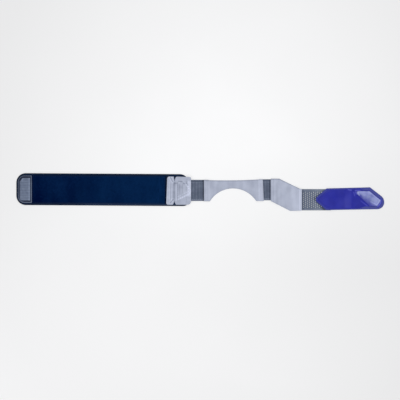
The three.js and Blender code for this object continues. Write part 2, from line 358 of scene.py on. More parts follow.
class Outline:
    """The edges and heights of a CAD node along x, read by cutting its mesh across x."""

    SPACING = 0.4
    MARGIN = 0.02  # distance of the first and last cut from the node's ends
    BEVEL = 0.6  # heights this close to an end are read past its bevel

    def __init__(self, node, lean):
        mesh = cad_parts[node].data
        points = np.array([vertex.co for vertex in mesh.vertices]) / MM - ORIGIN
        points[:, 0] = lean.straighten(points[:, 0], points[:, 1])
        spans = points[np.array([edge.vertices for edge in mesh.edges])]
        self.start = points[:, 0].min() + self.MARGIN
        self.end = points[:, 0].max() - self.MARGIN
        count = int((self.end - self.start) / self.SPACING)
        self.places = np.linspace(self.start, self.end, count)
        self.cuts = np.array([self.cut(spans, x) for x in self.places]).T

    @staticmethod
    def cut(spans, x):
        before = spans[:, 0, 0] - x
        after = spans[:, 1, 0] - x
        crossing = spans[before * after < 0]
        share = (x - crossing[:, 0, 0]) / (crossing[:, 1, 0] - crossing[:, 0, 0])
        met = crossing[:, 0] + share[:, None] * (crossing[:, 1] - crossing[:, 0])
        return met[:, 1].min(), met[:, 1].max(), met[:, 2].min(), met[:, 2].max()

    def sides(self, x):
        return np.interp(x, self.places, self.cuts[0]), np.interp(x, self.places, self.cuts[1])

    def heights(self, x):
        inner = np.clip(x, self.start + self.BEVEL, self.end - self.BEVEL)
        return np.interp(inner, self.places, self.cuts[2]), np.interp(inner, self.places, self.cuts[3])


# Sheets
class Relief:
    """What a surface adds to a sheet's top: its height, and its tone from -1, dark, to 1, light, which
    holds painted shade and painted light as well as the cloth's own marks.
    """

    def __init__(self):
        self.height = 0
        self.tone = 0

    def add(self, mask, height=0, tone=0):
        self.height = self.height + height * mask
        self.tone = self.tone + tone * mask
        return self


class Sheet:
    """A closed sheet in a CAD node's space: a fine top and underside that meet along its outline."""

    REACH = 7  # inset is exact up to this distance from the outline

    def __init__(self, node, step, edge, surface, lean=None):
        self.node = node
        self.edge = edge
        self.surface = surface
        self.lean = Lean(**(lean or {}))
        self.outline = Outline(node, self.lean)
        self.start = self.outline.start
        self.end = self.outline.end
        xs = self.start + spread(self.end - self.start, step, edge)
        low, high = self.outline.sides(xs)
        widest = (high - low).max()
        shares = spread(widest, step, edge) / widest
        self.x = np.repeat(xs[:, None], len(shares), axis=1)
        self.y = low[:, None] + (high - low)[:, None] * shares
        self.loop = self.boundary()
        self.inset = self.inset_at(self.x.ravel(), self.y.ravel()).reshape(self.x.shape)

    def boundary(self):
        """The outline, anticlockwise, through the grid's outer points."""
        grid = np.stack([self.x, self.y], axis=-1)
        return np.concatenate([grid[:-1, 0], grid[-1, :-1], grid[:0:-1, -1], grid[0, :0:-1]])

    def inset_at(self, x, y):
        low, high = self.outline.sides(x)
        rough = np.minimum.reduce([y - low, high - y, x - self.start, self.end - x])
        inset = np.full(len(x), float(self.REACH))
        near = rough < self.REACH
        inset[near] = np.minimum(loop_distance(x[near], y[near], self.loop), self.REACH)
        return inset

    def skins(self, x, y, inset):
        """Heights of the top and the underside, and the tone."""
        bottom, top = self.outline.heights(x)
        share = np.clip(inset / self.edge, 0, 1)
        swell = np.sqrt(1 - (1 - share) ** 2)
        middle = (bottom + top) / 2
        relief = self.surface(x, y, inset, self)
        over = middle + (top - middle) * swell + relief.height * share
        return over, middle - (middle - bottom) * swell, relief.tone

    def height(self, x, y):
        return self.skins(x, y, self.inset_at(x, y))[0]

    def build(self):
        """Points, faces and tones of the closed mesh."""
        over, under, tone = self.skins(self.x, self.y, self.inset)
        x = self.x + self.lean.shift(self.x, self.y)
        rows, columns = x.shape
        number = np.arange(rows * columns).reshape(rows, columns)
        below = number.copy()
        inner = (slice(1, -1), slice(1, -1))
        below[inner] = number.size + np.arange((rows - 2) * (columns - 2)).reshape(rows - 2, columns - 2)
        points = np.concatenate([
            np.stack([x, self.y, over], axis=-1).reshape(-1, 3),
            np.stack([x[inner], self.y[inner], under[inner]], axis=-1).reshape(-1, 3),
        ])
        faces = np.concatenate([quads(number), quads(below)[:, ::-1]])
        return points, faces.tolist(), np.concatenate([tone.ravel(), tone[inner].ravel()])


def quads(number):
    """The faces between the points of a numbered grid, facing up."""
    corners = [number[:-1, :-1], number[1:, :-1], number[1:, 1:], number[:-1, 1:]]
    return np.stack([corner.ravel() for corner in corners], axis=1)


# Surfaces: what each sheet's top adds to its solid
def band_surface(x, y, inset, sheet):
    """A padded laminate that thins to a rolled edge with painted shade, and a paler strip along its lower
    border that is a painted highlight, where the rolled edge faces the light.
    """
    low, _ = sheet.outline.sides(x)
    slope = 1 - ramp(inset, 0, BORDER["width"])
    # painted shade on the rolled edge
    roll = 1 - ramp(inset, *BORDER["roll"])
    # painted highlight along the lower border, which faces the light
    strip = plateau(y - low, *BORDER["strip"], soft=0.4) * ramp(x, *BORDER["paler"])
    wave = mottle(x, y, BORDER["wave_size"], seed=3)
    relief = Relief().add(slope, height=-0.45).add(roll, tone=-0.15).add(strip, height=0.1, tone=0.8)
    return relief.add(wave, height=0.05, tone=0.15)


def velour_surface(x, y, inset, sheet):
    """A brushed pile: lumps over slow swells, streaked near the anchor and combed down at the sewn edge."""
    lumps = mottle(x, y, PILE["lump"], seed=5) + mottle(x, y, PILE["lump"] / 2, seed=6)
    combed = ramp(inset, PILE["combed"] / 2, PILE["combed"])
    swell = mottle(x, y, PILE["swell"], seed=8)
    streaks = mottle(PILE["streak_squeeze"] * x, y, PILE["streak_size"], seed=9)
    streaks = streaks * ramp(x, *PILE["streaks"])
    last = ridge(x, PILE["last_streak"], half=0.9)
    relief = Relief().add(lumps * combed, height=0.08, tone=0.12).add(swell, height=0.06, tone=0.15)
    return relief.add(1 - combed, height=-0.25, tone=-0.15).add(streaks, tone=0.35).add(last, tone=-0.7)


def patch_surface(x, y, inset, sheet):
    """A rim painted darker at the free end and above, away from the light, and lighter towards the light,
    then a sewn channel round a paler ribbed panel, with painted shade between its ribs and on its shoulder
    away from the light.
    """
    rim = 1 - ramp(inset, PATCH["rim"] - PATCH["soft"], PATCH["rim"] + PATCH["soft"])
    inside = depth_inside(x, y, PATCH_PANEL)
    panel = ramp(inside, -PATCH["soft"], PATCH["soft"])
    channel = np.clip(1 - rim - panel, 0, 1)
    lit = ramp(x - y / 2, *PATCH["lit"])
    # painted shade between the ribs and the teeth
    ribs = panel * (cosine(y, PATCH["rib_pitch"]) - 1)
    teeth = panel * (cosine(x, PATCH["tooth_pitch"]) - 1)
    # painted shade on the panel's shoulder, away from the light
    shoulder = panel * (1 - ramp(inside, 0, PATCH["shoulder"])) * (1 - lit)
    bright = panel * ridge(x, PATCH["bright"], half=1)
    relief = Relief().add(rim, height=-0.1, tone=-0.7).add(rim * lit, tone=0.38)
    glint = ridges(x, y, [PATCH_GLINT], half=0.7)
    relief.add(channel, height=-0.5, tone=-1).add(ribs, height=0.2, tone=0.42)
    relief.add(teeth, height=0.06, tone=0.1).add(panel, tone=0.06)
    return relief.add(shoulder, tone=-0.25).add(bright, tone=0.5).add(glint, height=0.08, tone=0.8)


def anchor_surface(x, y, inset, sheet):
    """A folded end bar with mitred corners, notches, a field sewn in a shield, and a hem at the far end,
    with painted shade in its folds and hollows and painted light on its raised lines and hem.
    """
    middle = plateau(y, *ANCHOR_MIDDLE, soft=1.5)
    place = x + sheet.lean.shift(x, y)
    mitre = ridges(place, y, MITRES, half=0.7)
    lit_flanks = ridges(place, y, MITRES, half=0.8, beside=ANCHOR["mitre_flank"])
    slit = ridges(place, y, NOTCH_TIPS, half=0.8)
    lip = 1 - ramp(x, *ANCHOR["lip"])
    lines = middle * sum(ridge(x, line, half=0.6) for line in ANCHOR["bar_lines"])
    furrow = middle * ridge(x, sum(ANCHOR["bar_lines"]) / 2, half=0.6)
    crease = middle * ridge(x, ANCHOR["crease"], half=1.6)
    bead = middle * ridge(x, ANCHOR["bead"], half=0.6)
    gutter = middle * ridge(x, ANCHOR["gutter"], half=0.6)
    # Painted shade in the mitres, furrow, slits, crease and gutter; painted light on the mitre flanks, bar
    # lines and bead
    relief = Relief().add(mitre, height=-0.22, tone=-0.75).add(lit_flanks, height=0.05, tone=0.35)
    relief.add(lip, height=0.1, tone=0.1).add(lines, height=0.08, tone=0.35)
    relief.add(furrow, height=-0.08, tone=-0.4).add(slit, height=-0.25, tone=-1.1)
    relief.add(crease, height=-0.25, tone=-0.65).add(bead, height=0.18, tone=0.25)
    relief.add(gutter, height=-0.15, tone=-0.6)

    pad = ramp(depth_inside(x, y, SHIELD), 0, 1)
    dots = cosine(x, ANCHOR["row_pitch"])
    border = ridge(path_distance(x, y, SHIELD[1:]), 0, half=1.1) * (0.5 + 0.5 * dots)
    second = pad * ridge(line_offset(x, y, *SHIELD[1:3]), ANCHOR["second_row"], half=0.8) * dots
    puckers = ridges(x, y, PUCKERS, half=1)
    shade = pad * (1 - ramp(x, *ANCHOR["field_shade"]))
    pleat = cosine(x - ANCHOR["first_pleat"], ANCHOR["pleat_pitch"])
    pleats = pad * pleat * plateau(x, *ANCHOR["pleats"], soft=1)
    pleats = pleats * plateau(y, *ANCHOR["pleat_reach"], soft=2)
    hem = ramp(x, *ANCHOR["hem"])
    edge = 1 - ramp(inset, *ANCHOR["edge"])
    lit_hem = hem * plateau(y, *ANCHOR["hem_reach"], soft=2)
    columns = sum(ridge(x, column, half=0.6) for column in ANCHOR["needle_holes"])
    needle_holes = columns * cosine(y, ANCHOR["row_pitch"]) * ramp(inset, *ANCHOR["hole_margin"])
    # Painted shade in the puckers, pleats and needle holes; painted light on the hem
    relief.add(pad, height=0.25).add(border, height=0.15, tone=0.9).add(puckers, height=-0.2, tone=-0.7)
    relief.add(second, height=0.12, tone=0.6).add(shade, tone=-0.1).add(pleats, height=-0.08, tone=-0.35)
    relief.add(hem, height=0.12).add(lit_hem, tone=0.45).add(needle_holes, height=-0.1, tone=-0.45)
    relief.add(edge, height=-0.12)
    return relief.add(mottle(x, y, ANCHOR["lump"], seed=23), height=0.05, tone=0.15)


def elastic_surface(x, y, inset, sheet):
    """Ribs across the strip, every second one prouder, fine weft, and a flat selvedge along each side."""
    low, high = sheet.outline.sides(x)
    body = ramp(np.minimum(y - low, high - y), *ELASTIC["body"])
    rib = cosine(x, ELASTIC["rib_pitch"])
    proud = rib * cosine(x, 2 * ELASTIC["rib_pitch"])
    weft = cosine(y, ELASTIC["weft_pitch"])
    top_groove = ridge(high - y, ELASTIC["selvedge"], half=1)
    cord = ridge(high - y, ELASTIC["cord"], half=0.7)
    low_band = 1 - ramp(y - low, *ELASTIC["low_band"])
    dashes = ridge(y - low, ELASTIC["selvedge"], half=0.7) * cosine(x, ELASTIC["dash_pitch"])
    dip, dark = ELASTIC_SHADES[sheet.node]
    shade = ridge(x, dip, half=1.6)
    blotch = mottle(x, y, ELASTIC["blotch"], seed=27)
    flecks = mottle(x, y, ELASTIC["fleck"], seed=28)
    # Painted shade in the rib troughs and the groove by the top selvedge; painted light on the prouder ribs
    # and the cord
    relief = Relief().add(body * (rib - 1), height=0.16, tone=0.2).add(body * proud, height=0.06, tone=0.2)
    relief.add(body * blotch, height=0.03, tone=0.14).add(body * flecks, height=0.018, tone=0.084)
    relief.add(body * (weft - 1), height=0.04, tone=0.1).add(1 - body, height=-0.12)
    relief.add(top_groove, height=-0.15, tone=-0.35).add(cord, height=0.05, tone=0.35)
    return relief.add(low_band, tone=0.2).add(dashes, height=0.1, tone=0.4).add(shade, tone=dark)


def panel_surface(hems):
    """A coated panel with turned hems painted paler as lit, thinned along its cut edges with painted shade,
    and painted paler before the mesh.
    """

    def surface(x, y, inset, sheet):
        _, high = sheet.outline.sides(x)
        crease = sum(ridge(x, start, half=0.6) + ridge(x, end, half=0.6) for start, end, _ in hems)
        thin = 1 - ramp(inset, 0, PANEL["edge"])
        seam = ridge(inset, PANEL["seam"], half=0.4)
        top_edge = 1 - ramp(high - y, *PANEL["top_edge"])
        wave = mottle(x, y, PANEL["wave_size"], seed=11)
        squeeze, stretch = PANEL["streaks"]
        streaks = mottle(squeeze * x, y / stretch, PANEL["wave_size"], seed=12)
        # Painted shade in the hem creases, along the cut edges and along the upper edge, away from the
        # light; painted light on the hems and before the mesh
        relief = Relief().add(crease, height=-0.1, tone=-0.2)
        for start, end, paler in hems:
            relief.add(plateau(x, start, end, soft=0.4), height=0.22, tone=paler)
        relief.add(thin, height=-0.3, tone=-0.2).add(seam, height=-0.06).add(top_edge, tone=-0.25)
        relief.add(ramp(x, *PANEL["paler"]), tone=0.2)
        return relief.add(wave * (1 - thin), height=0.1, tone=0.1).add(streaks, height=0.03, tone=0.12)

    return surface


def tab_surface(x, y, inset, sheet):
    """A coated tab with a greyer pressed rim that darkens towards its end, a sewn pointed root, welded
    ridges beside the grip painted lighter as lit, and painted glints and highlights.
    """
    low, high = sheet.outline.sides(x)
    upper = ramp((y - low) / np.maximum(high - low, 1), *TAB["upper"])
    side = TAB["rim_low"] + (TAB["rim_high"] - TAB["rim_low"]) * upper
    toward_end = ramp(x, *TAB["end"])
    root = 1 - ramp(x, *TAB["root"])
    width = side + (TAB["rim_end"] - side) * toward_end + TAB["rim_root"] * root
    halo = ridge(path_distance(x, y, TAB_HALO), 0, half=1.3)
    rim = (1 - ramp(inset - width, *TAB["rim_soft"])) * (1 - halo)
    groove = ridge(inset, width, half=0.6)
    seam = root * ridge(inset, TAB["seam"], half=0.6)
    weld = ridges(x, y, TAB_WELDS, half=0.9)
    glint = ridges(x, y, TAB_GLINTS, half=0.8)
    beside = ridge(line_offset(x, y, *GRIP_SLANT), TAB["beside"], half=0.8)
    beside = beside * plateau(y, *TAB["beside_reach"], soft=2)
    wave = mottle(x, y, TAB["wave_size"], seed=17)
    # painted light: a paler band across the tab
    paler = plateau(x, *TAB["paler"], soft=2.5)
    relief = Relief().add(rim, height=-0.2, tone=-0.65).add(rim * toward_end, tone=-0.35)
    relief.add(groove, height=-0.2).add(seam, height=-0.2, tone=-0.3).add(weld, height=0.3, tone=0.32)
    relief.add(glint, height=0.15, tone=0.6).add(halo, tone=0.75).add(beside, height=-0.15)
    return relief.add(wave, height=0.08, tone=0.1).add(paler, tone=0.1)


def grip_surface(x, y, inset, sheet):
    """A moulded film, thin and blue at its slanted side, with a bead, an inner frame, rows of pips and
    painted glints.
    """
    inward = line_offset(x, y, *GRIP_SLANT)
    low_end, high_end = GRIP["thick"]
    blue = 1 - ramp(inward, GRIP["thin"], low_end + (high_end - low_end) * ramp(y, *GRIP["turn"]))
    milky = ridge(np.hypot(x - GRIP_MILKY[0], y - GRIP_MILKY[1]), 0, half=4.5)
    bead = 1 - ramp(inset, *GRIP["bead"])
    inner_frame = ridge(path_distance(x, y, GRIP_FRAME), 0, half=1)
    # painted glints
    film_glints = ridges(x, y, GRIP_GLINTS, half=0.8)
    field = ramp(inset, *GRIP["pips"]) * (1 - blue)
    pips = field * cosine(inward, GRIP["pip_pitch"]) * cosine(x + y, GRIP["pip_pitch"])
    relief = Relief().add(bead, height=0.1, tone=-0.4).add(inner_frame, height=0.14, tone=0.3)
    relief.add(inner_frame * ramp(x, *GRIP["brighter"]), tone=0.4)
    relief.add(film_glints, height=0.2, tone=0.7).add(film_glints * blue, tone=0.8)
    relief.add(blue, tone=-0.95).add(pips, height=0.1, tone=0.15)
    relief.add(milky, height=0.1, tone=0.4)
    return relief.add(mottle(x, y, GRIP["lump"], seed=31), height=0.04, tone=0.4)


# The pierced strip
class MeshStrip:
    """A strip of open knit: a lattice of points, with rings of faces round each hole."""

    RINGS = (0, 0.1, 0.3, 0.6)  # places from a hole's rim to its cell's edge

    def __init__(self, node):
        self.low, self.high = (np.array(corner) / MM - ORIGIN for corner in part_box(node))
        self.step = HOLES["pitch"] / LATTICE
        middle = (self.low[1] + self.high[1]) / 2
        half = (HOLES["rows"] / 2 + HOLES["stagger"]) * HOLES["pitch"]
        first = HOLES["first_x"] - HOLES["pitch"] / 2
        last = first + HOLES["columns"] * HOLES["pitch"]
        self.xs, self.first_column = self.lines(self.low[0], first, last, self.high[0])
        self.ys, self.first_row = self.lines(self.low[1], middle - half, middle + half, self.high[1])
        self.points = []
        self.tones = []
        self.faces = []

    def lines(self, low, first, last, high):
        """Lattice lines from low to high, even from first to last, and the number of the line at first."""
        before = low + edge_lines(first - low, self.step, KNIT["edge"])
        even = np.linspace(first, last, round((last - first) / self.step) + 1)
        after = high - edge_lines(high - last, self.step, KNIT["edge"])
        return np.concatenate([before[:-1], even, after[-2::-1]]), len(before) - 1

    def relief(self, x, y):
        """Raised cords between the columns of holes, fine courses across them, and a flat selvedge with
        painted shade in its groove, with a painted shadow beside the pull tab's root.
        """
        from_side = min(y - self.low[1], self.high[1] - y)
        body = ramp(from_side, *KNIT["body"])
        trough = cosine(x - HOLES["first_x"], HOLES["pitch"])
        course = cosine(y, KNIT["course_pitch"]) - 1
        groove = ridge(from_side, KNIT["selvedge"], half=0.5)
        cut = 1 - ramp(from_side, *KNIT["cut"])
        shade = ridge(x, KNIT["shade"], half=1.3)
        relief = Relief().add(body * trough, height=-0.22, tone=0.3)
        relief.add(body * course, height=0.07, tone=0.12).add(groove, height=-0.15, tone=-0.2)
        relief.add(1 - body, tone=0.35).add(cut, tone=-0.5)
        # painted shadow of the pull tab's root
        root_shadow = ridge(path_distance(x, y, ROOT_EDGE), 0, half=2.6)
        relief.add(shade, tone=-0.45).add(ramp(x, *KNIT["paler"]), tone=0.18)
        return relief.add(root_shadow, height=-0.05, tone=-0.95)

    def add(self, x, y, inset):
        """A point over and one under, or one that both sides share on an edge. Returns their numbers."""
        share = min(inset / KNIT["edge"], 1)
        swell = math.sqrt(1 - (1 - share) ** 2)
        relief = self.relief(x, y)
        middle = (self.low[2] + self.high[2]) / 2
        half = (self.high[2] - self.low[2]) / 2
        over = len(self.points)
        self.points.append((x, y, middle + half * swell + relief.height * share))
        self.tones.append(relief.tone)
        if inset <= 0:
            return over, over
        self.points.append((x, y, middle - half * swell))
        self.tones.append(relief.tone)
        return over, over + 1

    def close(self, corners):
        """A face on the top and one on the underside."""
        self.faces.append([corner[0] for corner in corners])
        self.faces.append([corner[1] for corner in reversed(corners)])

    def cells(self):
        """The lattice place of each hole's cell, by its lower left corner."""
        for column in range(HOLES["columns"]):
            lift = LATTICE // 2 if column % 2 else 0
            for row in range(HOLES["rows"]):
                yield self.first_column + column * LATTICE, self.first_row + row * LATTICE + lift

    def build(self):
        """Points, faces and tones of the closed mesh."""
        shape = (len(self.xs), len(self.ys))
        pierced = np.zeros(shape, bool)
        inner = np.zeros(shape, bool)
        for i, j in self.cells():
            pierced[i:i + LATTICE, j:j + LATTICE] = True
            inner[i + 1:i + LATTICE, j + 1:j + LATTICE] = True
        lattice = {}
        for i, j in np.argwhere(~inner):
            x = self.xs[i]
            y = self.ys[j]
            inset = min(x - self.low[0], self.high[0] - x, y - self.low[1], self.high[1] - y)
            lattice[i, j] = self.add(x, y, inset)
        for i, j in np.argwhere(~pierced[:-1, :-1]):
            self.close([lattice[i, j], lattice[i + 1, j], lattice[i + 1, j + 1], lattice[i, j + 1]])
        for i, j in self.cells():
            self.pierce(i, j, lattice)
        return np.array(self.points), self.faces, np.array(self.tones, float)

    def pierce(self, i, j, lattice):
        """Rings of faces between a cell's edge and the rim of its hole."""
        steps = range(LATTICE)
        edge = [(i + k, j) for k in steps] + [(i + LATTICE, j + k) for k in steps]
        edge += [(i + LATTICE - k, j + LATTICE) for k in steps] + [(i, j + LATTICE - k) for k in steps]
        outer = np.array([(self.xs[a], self.ys[b]) for a, b in edge])
        centre = (outer.min(axis=0) + outer.max(axis=0)) / 2
        away = outer - centre
        rim = centre + away / np.hypot(*away.T)[:, None] * HOLES["radius"]
        rings = []
        for share in self.RINGS:
            places = rim + share * (outer - rim)
            insets = share * np.hypot(*(outer - rim).T)
            rings.append([self.add(*place, inset) for place, inset in zip(places, insets)])
        rings.append([lattice[place] for place in edge])
        for ring, wider in zip(rings, rings[1:]):
            for k in range(len(edge)):
                after = (k + 1) % len(edge)
                self.close([wider[k], wider[after], ring[after], ring[k]])


# Pieces
def add_object(name, data):
    """A new object in the scene."""
    added = bpy.data.objects.new(name, data)
    bpy.context.scene.collection.objects.link(added)
    return added


def add_piece(name, points, faces, material, tone=None):
    """A smooth mesh object that rides on the body."""
    mesh = bpy.data.meshes.new(name)
    mesh.from_pydata((points + ORIGIN) * MM, [], faces)
    mesh.shade_smooth()
    mesh.materials.append(material)
    if tone is not None:
        mesh.attributes.new("tone", "FLOAT", "POINT").data.foreach_set("value", tone.astype(np.float32))
    piece = add_object(name, mesh)
    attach(piece, BODY)
    return piece


def add_sheet(sheet, material):
    """The piece that stands for a sheet's node."""
    points, faces, tone = sheet.build()
    piece = add_piece("soft_" + sheet.node, points, faces, material, tone)
    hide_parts(sheet.node)
    return piece


def closed(path):
    return np.concatenate([path, path[:1]])


def seam_row(sheet, x):
    """A straight path across a sheet."""
    low, high = sheet.outline.sides(x)
    return [(x, low + SEAMS["end"]), (x, high - SEAMS["end"])]


def stitches(sheet, path):
    """Both ends of each stitch along a path on a sheet."""
    path = np.asarray(path, float)
    run = np.concatenate([[0], np.cumsum(np.hypot(*np.diff(path, axis=0).T))])
    count = max(int(run[-1] / (STITCH["length"] + STITCH["gap"])), 1)
    middles = (np.arange(count) + 0.5) * run[-1] / count
    ends = []
    for place in (middles - STITCH["length"] / 2, middles + STITCH["length"] / 2):
        x = np.interp(place, run, path[:, 0])
        y = np.interp(place, run, path[:, 1])
        ends.append(np.stack([x + sheet.lean.shift(x, y), y, sheet.height(x, y)], axis=1))
    return np.stack(ends, axis=1)


def add_thread(name, sheet, paths, material):
    """Stitches along paths on a sheet, as short arched strands whose ends dive into the cloth."""
    spans = np.concatenate([stitches(sheet, path) for path in paths])
    places = np.array([0, 0.08, 0.3, 0.5, 0.7, 0.92, 1])
    girth = np.array([0.3, 0.8, 1, 1, 1, 0.8, 0.3]) * STITCH["radius"]
    arch = np.array([-0.9, -0.3, 0.4, 0.55, 0.4, -0.3, -0.9]) * STITCH["radius"]
    angle = TURN * np.arange(STITCH["sides"]) / STITCH["sides"]
    along = spans[:, 1] - spans[:, 0]
    flat = along / np.linalg.norm(along, axis=1)[:, None]
    across = np.stack([-flat[:, 1], flat[:, 0], np.zeros(len(flat))], axis=1)
    up = np.array([0, 0, 1])
    centre = spans[:, None, 0] + along[:, None] * places[None, :, None] + up * arch[None, :, None]
    ring = np.cos(angle)[:, None] * across[:, None, None, :] + np.sin(angle)[:, None] * up
    points = centre[:, :, None] + ring * girth[None, :, None, None]
    number = np.arange(points.size // 3).reshape(points.shape[:3])
    ahead = np.roll(number, -1, axis=2)
    walls = [number[:, :-1], ahead[:, :-1], ahead[:, 1:], number[:, 1:]]
    faces = np.stack([wall.ravel() for wall in walls], axis=1).tolist()
    faces += number[:, 0, ::-1].tolist()
    faces += number[:, -1].tolist()
    return add_piece(name, points.reshape(-1, 3), faces, material)


# Materials
def srgb(red, green, blue):
    """A colour given in 8-bit screen values, as linear light."""
    values = np.array([red, green, blue]) / 255
    linear = np.where(values <= 0.04045, values / 12.92, ((values + 0.055) / 1.055) ** 2.4)
    return (*linear, 1.0)


def grey(value):
    return (value, value, value, 1.0)


class Finish:
    """A procedural material: a Principled shader and the nodes that feed it."""

    MIX = {"factor": 0, "a": 6, "b": 7, "result": 2}  # the colour sockets of a Mix node
    WAVE_RATE = 20  # radians in a unit of a Wave texture's space

    def __init__(self, name, roughness, specular, sheen=0.0, coat=0.0, glow=0.0):
        self.material = bpy.data.materials.new(name)
        self.material.use_nodes = True
        self.tree = self.material.node_tree
        self.shader = self.tree.nodes["Principled BSDF"]
        values = {
            "Roughness": roughness,
            "Specular IOR Level": specular,
            "Sheen Weight": sheen,
            "Coat Weight": coat,
            "Emission Color": grey(1.0),
            "Emission Strength": glow,
        }
        for socket, value in values.items():
            self.shader.inputs[socket].default_value = value
        self.place = self.node("TexCoord").outputs["Object"]

    def node(self, kind, sockets=None, **settings):
        node = self.tree.nodes.new("ShaderNode" + kind)
        for name, value in settings.items():
            setattr(node, name, value)
        for key, value in (sockets or {}).items():
            if isinstance(value, bpy.types.NodeSocket):
                self.tree.links.new(value, node.inputs[key])
            else:
                node.inputs[key].default_value = value
        return node

    def grain(self, size, detail=2.0, stretch=1.0):
        """Noise with lumps of a size in millimetres, drawn out along x by stretch."""
        place = self.node("Mapping", {"Vector": self.place, "Scale": (1 / stretch, 1, 1)}).outputs["Vector"]
        sockets = {"Vector": place, "Scale": 1 / (size * MM), "Detail": detail}
        return self.node("TexNoise", sockets).outputs["Fac"]

    def cords(self, pitch, direction):
        """Even bands of a pitch in millimetres, one after another along a direction."""
        sockets = {"Vector": self.place, "Scale": TURN / self.WAVE_RATE / (pitch * MM)}
        return self.node("TexWave", sockets, bands_direction=direction).outputs["Fac"]

    def weave(self, along, across):
        """Crossing cords of two pitches."""
        return self.combine("MULTIPLY", self.cords(along, "X"), self.cords(across, "Y"))

    def pool(self, centre, reach):
        """0 at a place in metres, and 1 on an ellipse of a given reach about it."""
        scale = (1 / reach[0], 1 / reach[1], 0)
        shift = (-centre[0] / reach[0], -centre[1] / reach[1], 0)
        place = self.node("Mapping", {"Vector": self.place, "Scale": scale, "Location": shift})
        return self.node("VectorMath", {0: place.outputs["Vector"]}, operation="LENGTH").outputs["Value"]

    def along(self, start, end):
        """0 to 1 along x, between two places."""
        x = self.node("SeparateXYZ", {"Vector": self.place}).outputs["X"]
        low = (start + ORIGIN[0]) * MM
        high = (end + ORIGIN[0]) * MM
        return self.node("MapRange", {"Value": x, "From Min": low, "From Max": high}).outputs["Result"]

    def combine(self, operation, a, b):
        """A sum, difference or product, kept between 0 and 1."""
        return self.node("Math", {0: a, 1: b}, operation=operation, use_clamp=True).outputs[0]

    def tint(self, factor, dark, light, span=(0.3, 0.7)):
        """A colour between dark and light, as the factor goes over a span."""
        node = self.node("ValToRGB", {"Fac": factor})
        for element, place, colour in zip(node.color_ramp.elements, span, (dark, light)):
            element.position = place
            element.color = colour
        return node.outputs["Color"]

    def mix(self, factor, a, b):
        sockets = {self.MIX["factor"]: factor, self.MIX["a"]: a, self.MIX["b"]: b}
        return self.node("Mix", sockets, data_type="RGBA").outputs[self.MIX["result"]]

    def lighten(self, colour, crests, share, paler):
        """A share of a paler colour laid over the crests of a pattern."""
        return self.mix(self.combine("MULTIPLY", crests, share), colour, paler)

    def toned(self, colour, dark, light):
        """The piece's tone laid over a colour: painted shade in creases, painted light on hems and crests,
        and the cloth's own marks.
        """
        tone = self.node("Attribute", attribute_name="tone").outputs["Fac"]
        raised = self.mix(self.combine("MULTIPLY", tone, 1.0), colour, light)
        return self.mix(self.combine("MULTIPLY", tone, -1.0), raised, dark)

    def bump(self, height, depth):
        """Fine relief of a depth in millimetres."""
        normal = self.node("Bump", {"Height": height, "Distance": depth * MM}).outputs["Normal"]
        self.tree.links.new(normal, self.shader.inputs["Normal"])

    def done(self, colour, roughness=None):
        self.tree.links.new(colour, self.shader.inputs["Base Color"])
        if roughness is not None:
            self.tree.links.new(roughness, self.shader.inputs["Roughness"])
        return self.material


def navy_laminate():
    """A close navy knit over foam, greyer than the velour."""
    finish = Finish("navy_laminate", roughness=0.9, specular=0.04, sheen=0.02)
    knit = finish.weave(along=0.9, across=0.7)
    colour = finish.tint(finish.grain(size=9, detail=4), srgb(13, 26, 48), srgb(20, 35, 58))
    colour = finish.lighten(colour, knit, share=0.3, paler=srgb(28, 42, 68))
    finish.bump(knit, depth=0.15)
    return finish.done(finish.toned(colour, srgb(3, 6, 16), srgb(44, 58, 84)))


def navy_velour():
    """A brushed loop pile that pales towards the anchor, in bands where the nap lies another way."""
    finish = Finish("navy_velour", roughness=1.0, specular=0.0)
    fibre = finish.grain(size=0.7, detail=3)
    flat = 0.3  # noise up to this level leaves the nap as it lies
    nap = finish.combine("SUBTRACT", finish.grain(size=55, detail=2, stretch=0.3), flat)
    light = finish.combine("ADD", finish.along(start=10, end=250), nap)
    colour = finish.tint(light, srgb(0, 6, 41), srgb(5, 31, 66), span=(0.05, 1.05))
    colour = finish.lighten(colour, fibre, share=0.2, paler=srgb(9, 35, 72))
    finish.bump(fibre, depth=0.3)
    return finish.done(finish.toned(colour, srgb(0, 5, 28), srgb(13, 42, 84)))


def ribbed_patch():
    """A coated grey patch, darker in its channel."""
    finish = Finish("ribbed_patch", roughness=0.6, specular=0.15)
    grit = finish.grain(size=0.35)
    colour = finish.tint(finish.grain(size=4, detail=3), srgb(100, 112, 135), srgb(118, 129, 150))
    finish.bump(grit, depth=0.05)
    colour = finish.toned(colour, srgb(22, 30, 52), srgb(146, 156, 180))
    return finish.done(colour, finish.tint(grit, grey(0.5), grey(0.75)))


def grey_laminate():
    """A light grey coated fabric, with a fine plain weave under the coat."""
    finish = Finish("grey_laminate", roughness=0.65, specular=0.12)
    weave = finish.weave(along=0.6, across=0.6)
    cloud = finish.grain(size=11, detail=4)
    colour = finish.tint(cloud, srgb(156, 162, 180), srgb(171, 177, 194))
    colour = finish.lighten(colour, weave, share=0.2, paler=srgb(187, 192, 208))
    finish.bump(weave, depth=0.05)
    colour = finish.toned(colour, srgb(112, 118, 136), srgb(203, 209, 229))
    return finish.done(colour, finish.tint(cloud, grey(0.6), grey(0.75)))


def woven_elastic():
    """Dark grey elastic with heathered yarns."""
    finish = Finish("woven_elastic", roughness=0.85, specular=0.08, sheen=0.02)
    yarn = finish.grain(size=0.6, stretch=0.3)
    heather = finish.tint(finish.grain(size=3.5, detail=2), srgb(72, 84, 100), srgb(86, 92, 112))
    colour = finish.lighten(heather, yarn, share=0.6, paler=srgb(108, 116, 134))
    finish.bump(yarn, depth=0.12)
    return finish.done(finish.toned(colour, srgb(44, 50, 66), srgb(138, 146, 162)))


